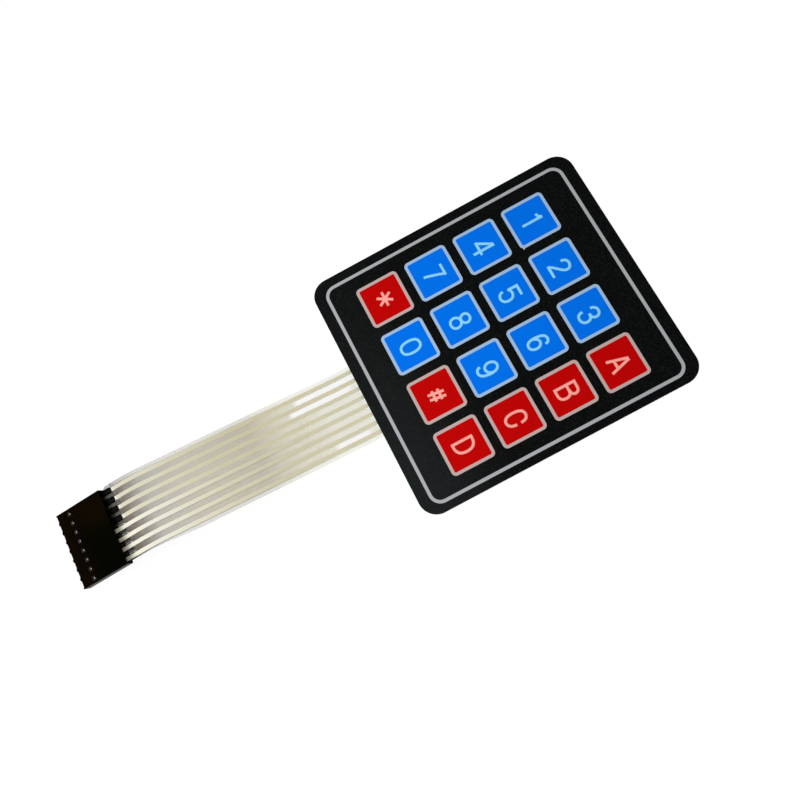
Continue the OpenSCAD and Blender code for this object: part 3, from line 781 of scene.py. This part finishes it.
class KEYPAD_OT_tail(bpy.types.Operator):
    """Finish the circuit films, the spacer and the silver tracks"""

    bl_idname = "keypad.tail"
    bl_label = "Film tail and tracks"

    def film(self, name):
        """A film's material with its node tree and shader, and its mottling."""
        material, tree, shader = new_material(
            name, Roughness=FILM_ROUGHNESS, Specular_IOR_Level=FILM_GLOSS)
        grain = use_group(tree, fine_grain_group(), Grain_size=0.9 * MM, Mottle_size=7 * MM)
        bump(tree, shader, grain["Height"], FILM_RELIEF)
        return material, tree, shader, grain["Fleck"]

    def lower_film(self, settings):
        material, tree, shader, fleck = self.film("Hazy lower film")
        along = use_group(tree, tail_place_group())["Along"]
        # Painted shade: the film's colour darkens towards the housing
        hue, cover = colour_stops(tree, along, LOWER_FILM)
        tree.links.new(
            mix_colours(tree, calculate(tree, "MULTIPLY", fleck, settings.haze_share), hue,
                        opaque(settings.haze)),
            shader.inputs["Base Color"])
        # Painted highlights: the glare patches clear the film, so that the white floor shows
        # through
        clear = 0.0
        for middle_x, half_x, middle_y, half_y in GLARE_PATCHES:
            patch = soft_patch(tree, (middle_x * MM, PAD_FOOT_Y - middle_y * MM),
                               (half_x * MM, half_y * MM), PATCH_EDGE)
            clear = calculate(tree, "MAXIMUM", clear, patch)
        across = calculate(tree, "ABSOLUTE", object_place(tree)["X"])
        kept = calculate(tree, "MULTIPLY", calculate(tree, "SUBTRACT", 1.0, clear),
                         ramp(tree, across, MARGIN_START, MARGIN_END, 1.0,
                              settings.margin_cover))
        tree.links.new(calculate(tree, "MULTIPLY", cover, kept), shader.inputs["Alpha"])
        return material

    def upper_film(self, settings):
        material, tree, shader, fleck = self.film("Clear upper film")
        place = use_group(tree, tail_place_group())
        along = place["Along"]
        away = calculate(tree, "ABSOLUTE", place["From pin"])
        past = ramp(tree, along, *SHADE_RANGE)
        tree.links.new(ramp(tree, past, 0.0, 1.0, FILM_GLOSS, SHADE_GLOSS),
                       shader.inputs["Specular IOR Level"])
        beside = apart(tree, place["From pin"], BAR_MIDDLE)
        bar = calculate(tree, "MULTIPLY", ramp(tree, beside, *BAR_FADE, 1.0, 0.0),
                        ramp(tree, along, FINGER_TIP, FINGER_TIP + BAR_START))
        end = mix_colours(tree, bar, colour_stops(tree, along, UPPER_END)[0],
                          opaque(BAR_COLOUR))
        tree.links.new(mix_colours(tree, past, opaque(settings.top_film), end),
                       shader.inputs["Base Color"])
        haze = calculate(tree, "MULTIPLY", ramp(tree, fleck, 0.0, 1.0, *UPPER_MOTTLE),
                         settings.top_cover)
        strip = ramp(tree, along, FINGER_TIP - STRIP_WIDENS, FINGER_TIP + STRIP_WIDENS,
                     *STRIP_HALVES)
        # Painted shade on the upper film between the tracks, past the layers below it
        painted_shade = calculate(tree, "MULTIPLY", past,
                          ramp(tree, away, strip, calculate(tree, "ADD", strip, STRIP_EDGE),
                               0.0, settings.shade_cover))
        tree.links.new(calculate(tree, "MAXIMUM", haze, painted_shade), shader.inputs["Alpha"])
        return material

    def bond(self, settings):
        material, tree, shader, fleck = self.film("Clear bond")
        tree.links.new(mix_colours(tree, fleck, opaque(settings.bond),
                                   opaque(settings.top_film)), shader.inputs["Base Color"])
        shader.inputs["Alpha"].default_value = settings.bond_cover
        return material

    def ink(self, settings, name, stops):
        material, tree, shader = new_material(
            name, Roughness=INK_ROUGHNESS, Specular_IOR_Level=INK_GLOSS)
        grain = use_group(tree, fine_grain_group(), Grain_size=INK_GRAIN)
        along = use_group(tree, tail_place_group())["Along"]
        # Painted light along the tail: the ink brightens towards the housing and the columns
        # darken right at it
        tree.links.new(
            mix_colours(tree, calculate(tree, "MULTIPLY", grain["Fleck"], INK_SPECK_SHARE),
                        colour_stops(tree, along, stops)[0], opaque(settings.ink_speck)),
            shader.inputs["Base Color"])
        bump(tree, shader, grain["Height"], INK_RELIEF)
        return material

    def execute(self, context):
        settings = context.scene.keypad_tail
        for name, node, slot, material, growth in (
                ("lower_film", "lower_circuit", "clear_film", self.lower_film(settings), 0.0),
                ("row_ink", "row_tracks", "silver_ink",
                 self.ink(settings, "Silver ink of the rows", ROW_INK), INK_GROWTH),
                ("bond_layer", "spacer", "spacer_film", self.bond(settings), -BOND_SHRINK),
                ("column_ink", "column_tracks", "silver_ink",
                 self.ink(settings, "Silver ink of the columns", COLUMN_INK), INK_GROWTH),
                ("upper_film", "upper_circuit", "clear_film", self.upper_film(settings), 0.0)):
            layer = layer_copy(name, node, growth)
            layer.data.materials.append(material)
            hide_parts(node)
            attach(layer, ROOT)
        return {"FINISHED"}


# The connector

# The housing's warm patches, a painted reflection: where they begin along the tail, measured
# in its lengths, where they end across X, and how the clouds in them run
REFLECTION_ALONG = (1.1, 1.18)
REFLECTION_X = (-5 * MM, 1.5 * MM)
CLOUD_RANGE = (0.35, 0.6)
CLOUD_SHARE = (0.7, 1.0)
HOUSING_FLECK = 0.15
HOUSING_RELIEF = 0.004 * MM
# How far below the top face the sides' polish begins to end, and ends
POLISH_ENDS = (0.35 * MM, 0.2 * MM)
# The glint in each window: where it lies along the tail, half its length there, and half its
# width, each from where it fades to where it ends
GLINT_ALONG = 1.15
GLINT_LENGTH = (0.001, 0.0024)
GLINT_WIDTH = (0.06 * MM, 0.17 * MM)
# Where the fingers' finish gives way to bare metal along the tail
FINGER_ENDS = (1.015, 1.035)
# The fingers' paler middles, a painted highlight along their rounded tops: half their width,
# and how they vary with the grain
HIGHLIGHT_WIDTH = (0.15 * MM, 0.5 * MM)
HIGHLIGHT_SHARE = (0.6, 1.0)
METAL_ROUGHNESS = (0.25, 0.42)
METAL_RELIEF = 0.003 * MM


class KEYPAD_OT_connector(bpy.types.Operator):
    """Finish the moulded housing and the crimped contacts"""

    bl_idname = "keypad.connector"
    bl_label = "Connector"

    def moulding(self, settings):
        material, tree, shader = new_material(
            "Moulded plastic", Roughness=settings.housing_roughness,
            Specular_IOR_Level=settings.housing_gloss)
        grain = use_group(tree, fine_grain_group(), Grain_size=0.35 * MM)
        clouds = use_group(tree, fine_grain_group(), Grain_size=6 * MM)["Height"]
        along = use_group(tree, tail_place_group())["Along"]
        place = object_place(tree)
        # Painted reflection: warm patches towards the mating end and towards -X, broken into
        # clouds, with the grain's flecks added
        warm = calculate(tree, "MAXIMUM", ramp(tree, along, *REFLECTION_ALONG),
                         ramp(tree, place["X"], *REFLECTION_X, 1.0, 0.0))
        warm = calculate(tree, "MULTIPLY", warm,
                         ramp(tree, clouds, *CLOUD_RANGE, *CLOUD_SHARE))
        warm = calculate(tree, "ADD", warm,
                         calculate(tree, "MULTIPLY", grain["Fleck"], HOUSING_FLECK))
        tree.links.new(
            mix_colours(tree, warm, opaque(settings.housing), opaque(settings.housing_reflection_tint)),
            shader.inputs["Base Color"])
        # The sides are polished up to just below the top face, which dips with the housing
        dip = calculate(tree, "MULTIPLY", along, HOUSING_DIP)
        height = calculate(tree, "ADD", place["Z"], dip)
        tree.links.new(ramp(tree, height, *(HOUSING_TOP - depth for depth in POLISH_ENDS),
                            settings.side_gloss, settings.housing_gloss),
                       shader.inputs["Specular IOR Level"])
        bump(tree, shader, grain["Height"], HOUSING_RELIEF)
        finish_nodes(material, "connector_housing")

    def contacts(self, settings):
        material, tree, shader = new_material("Tarnished sheet metal", Metallic=1.0)
        grain = use_group(tree, fine_grain_group(), Grain_size=0.1 * MM)
        place = use_group(tree, tail_place_group())
        away = calculate(tree, "ABSOLUTE", place["From pin"])
        ahead = apart(tree, place["Along"], GLINT_ALONG)
        glint = calculate(tree, "MULTIPLY", ramp(tree, away, *GLINT_WIDTH, 1.0, 0.0),
                          ramp(tree, ahead, *GLINT_LENGTH, 1.0, 0.0))
        out = ramp(tree, place["Along"], *FINGER_ENDS, 1.0, 0.0)
        # Painted highlight: a paler middle along each finger
        finger_highlight = calculate(tree, "MULTIPLY", ramp(tree, away, *HIGHLIGHT_WIDTH, 1.0, 0.0),
                          ramp(tree, grain["Fleck"], 0.0, 0.6, *HIGHLIGHT_SHARE))
        finger = mix_colours(tree, finger_highlight, opaque(settings.finger), opaque(settings.finger_highlight))
        # Painted shade: the metal is dark, as the shade inside the housing's windows
        hue = mix_colours(tree, out, opaque(settings.metal), finger)
        tree.links.new(mix_colours(tree, glint, hue, opaque(settings.glint)),
                       shader.inputs["Base Color"])
        tree.links.new(ramp(tree, grain["Height"], 0.3, 0.7, *METAL_ROUGHNESS),
                       shader.inputs["Roughness"])
        bump(tree, shader, grain["Height"], METAL_RELIEF)
        finish_nodes(material, *CONTACTS)

    def execute(self, context):
        self.moulding(context.scene.keypad_connector)
        self.contacts(context.scene.keypad_connector)
        return {"FINISHED"}


# The back

# How much white is in the flecks of the liner and the adhesives
BACK_FLECK = 0.2
BACK_RELIEF = 0.01 * MM


class KEYPAD_OT_back(bpy.types.Operator):
    """Finish the release liner and the adhesives"""

    bl_idname = "keypad.back"
    bl_label = "Back and adhesives"

    def execute(self, context):
        settings = context.scene.keypad_back
        for name, colour, roughness, nodes in (
                ("Coated liner paper", settings.liner, 0.5, ["release_liner"]),
                ("Acrylic adhesive", settings.adhesive, 0.35,
                 ["rear_adhesive", "overlay_adhesive"])):
            material, tree, shader = new_material(name, Roughness=roughness)
            grain = use_group(tree, fine_grain_group(), Grain_size=0.5 * MM,
                              Mottle_size=9 * MM)
            paler = tuple(c + (1 - c) * BACK_FLECK for c in colour)
            tree.links.new(mix_colours(tree, grain["Fleck"], opaque(colour), opaque(paler)),
                           shader.inputs["Base Color"])
            bump(tree, shader, grain["Height"], BACK_RELIEF)
            finish_nodes(material, *nodes)
        return {"FINISHED"}


# The stage

CLIP_START, CLIP_END = 0.005, 20
# The floor lies this far below the pad's back
FLOOR_GAP = 0.02 * MM
# The floor's grey for bounced light, its grey where it is seen, and the glow that is added
# there, so that it looks white but still takes a shadow
FLOOR_GREY = (0.8, 0.8, 0.8)
SEEN_GREY = (0.13, 0.13, 0.13)
SEEN_GLOW = 0.92


def seen_mask(tree):
    """1 for rays that carry the background to the eye, straight or in gloss or glass."""
    path = add(tree, "ShaderNodeLightPath").outputs
    straight = calculate(tree, "MAXIMUM", path["Is Camera Ray"], path["Is Glossy Ray"])
    return calculate(tree, "MAXIMUM", straight, path["Is Transmission Ray"])


class KEYPAD_OT_stage(bpy.types.Operator):
    """Set the camera, the white floor and the soft light"""

    bl_idname = "keypad.stage"
    bl_label = "Stage, light and camera"

    def camera(self, scene, settings):
        place, aim = Vector(settings.camera), Vector(settings.aim)
        forward = (aim - place).normalized()
        level = (Vector((0, 1, 0)) - forward * forward.y).normalized()
        up = Matrix.Rotation(settings.roll, 3, forward) @ level
        turn = Matrix((forward.cross(up), up, -forward)).transposed()
        data = bpy.data.cameras.new("camera")
        data.lens = settings.lens
        data.clip_start, data.clip_end = CLIP_START, CLIP_END
        made = bpy.data.objects.new("camera", data)
        made.matrix_world = Matrix.Translation(place) @ turn.to_4x4()
        scene.collection.objects.link(made)
        scene.camera = made

    def floor(self, scene, settings):
        half = settings.floor / 2
        mesh = bpy.data.meshes.new("floor")
        mesh.from_pydata([(x * half, y * half, -FLOOR_GAP)
                          for x, y in ((-1, -1), (1, -1), (1, 1), (-1, 1))],
                         [], [(0, 1, 2, 3)])
        made = bpy.data.objects.new("floor", mesh)
        scene.collection.objects.link(made)
        material = bpy.data.materials.new("White floor")
        material.use_nodes = True
        tree = material.node_tree
        tree.nodes.clear()
        plain = add(tree, "ShaderNodeBsdfDiffuse", {"Color": opaque(FLOOR_GREY)}).outputs[0]
        shaded = add(tree, "ShaderNodeBsdfDiffuse", {"Color": opaque(SEEN_GREY)})
        glow = add(tree, "ShaderNodeEmission",
                   {"Color": (1, 1, 1, 1), "Strength": SEEN_GLOW})
        seen = add(tree, "ShaderNodeAddShader",
                   {0: shaded.outputs[0], 1: glow.outputs[0]}).outputs[0]
        mixed = add(tree, "ShaderNodeMixShader", {0: seen_mask(tree), 1: plain, 2: seen})
        add(tree, "ShaderNodeOutputMaterial", {"Surface": mixed.outputs[0]})
        mesh.materials.append(material)

    def light(self, scene, settings):
        world = bpy.data.worlds.new("studio")
        scene.world = world
        world.use_nodes = True
        tree = world.node_tree
        tree.nodes.clear()
        strength = ramp(tree, seen_mask(tree), 0.0, 1.0, settings.ambient, 1.0)
        surround = add(tree, "ShaderNodeBackground",
                       {"Color": (1, 1, 1, 1), "Strength": strength})
        add(tree, "ShaderNodeOutputWorld", {"Surface": surround.outputs[0]})
        lamp = bpy.data.lights.new("soft_lamp", "AREA")
        lamp.shape, lamp.size, lamp.energy = "DISK", settings.lamp_size, settings.lamp
        made = bpy.data.objects.new("soft_lamp", lamp)
        made.location = settings.lamp_place
        made.rotation_euler = (Vector(settings.aim) - made.location).to_track_quat(
            "-Z", "Y").to_euler()
        scene.collection.objects.link(made)

    def execute(self, context):
        scene = context.scene
        self.camera(scene, scene.keypad_stage)
        self.floor(scene, scene.keypad_stage)
        self.light(scene, scene.keypad_stage)
        scene.view_settings.view_transform = "Standard"
        return {"FINISHED"}


OPERATORS = (KEYPAD_OT_stage, KEYPAD_OT_overlay, KEYPAD_OT_legends, KEYPAD_OT_tail,
             KEYPAD_OT_connector, KEYPAD_OT_back)
SETTINGS = {
    "keypad_print": KeypadPrintSettings,
    "keypad_legends": KeypadLegendSettings,
    "keypad_tail": KeypadTailSettings,
    "keypad_connector": KeypadConnectorSettings,
    "keypad_back": KeypadBackSettings,
    "keypad_stage": KeypadStageSettings,
}


class KEYPAD_PT_panel(bpy.types.Panel):
    """Lists the keypad's operators and settings"""

    bl_idname = "KEYPAD_PT_panel"
    bl_label = "Membrane Keypad"
    bl_space_type = "VIEW_3D"
    bl_region_type = "UI"
    bl_category = "Keypad"

    def draw(self, context):
        for operator in OPERATORS:
            self.layout.operator(operator.bl_idname)
        for name, group in SETTINGS.items():
            box = self.layout.box()
            box.label(text=group.__doc__)
            for setting in group.__annotations__:
                box.prop(getattr(context.scene, name), setting)


def register():
    for group in SETTINGS.values():
        bpy.utils.register_class(group)
    for cls in (*OPERATORS, KEYPAD_PT_panel):
        bpy.utils.register_class(cls)
    for name, group in SETTINGS.items():
        setattr(bpy.types.Scene, name, PointerProperty(type=group))


def unregister():
    for name in SETTINGS:
        delattr(bpy.types.Scene, name)
    for cls in (KEYPAD_PT_panel, *reversed(OPERATORS), *reversed(SETTINGS.values())):
        bpy.utils.unregister_class(cls)


def main():
    register()
    bpy.ops.keypad.stage()
    bpy.ops.keypad.overlay()
    bpy.ops.keypad.legends()
    bpy.ops.keypad.tail()
    bpy.ops.keypad.connector()
    bpy.ops.keypad.back()


if __name__ == "__main__":
    main()
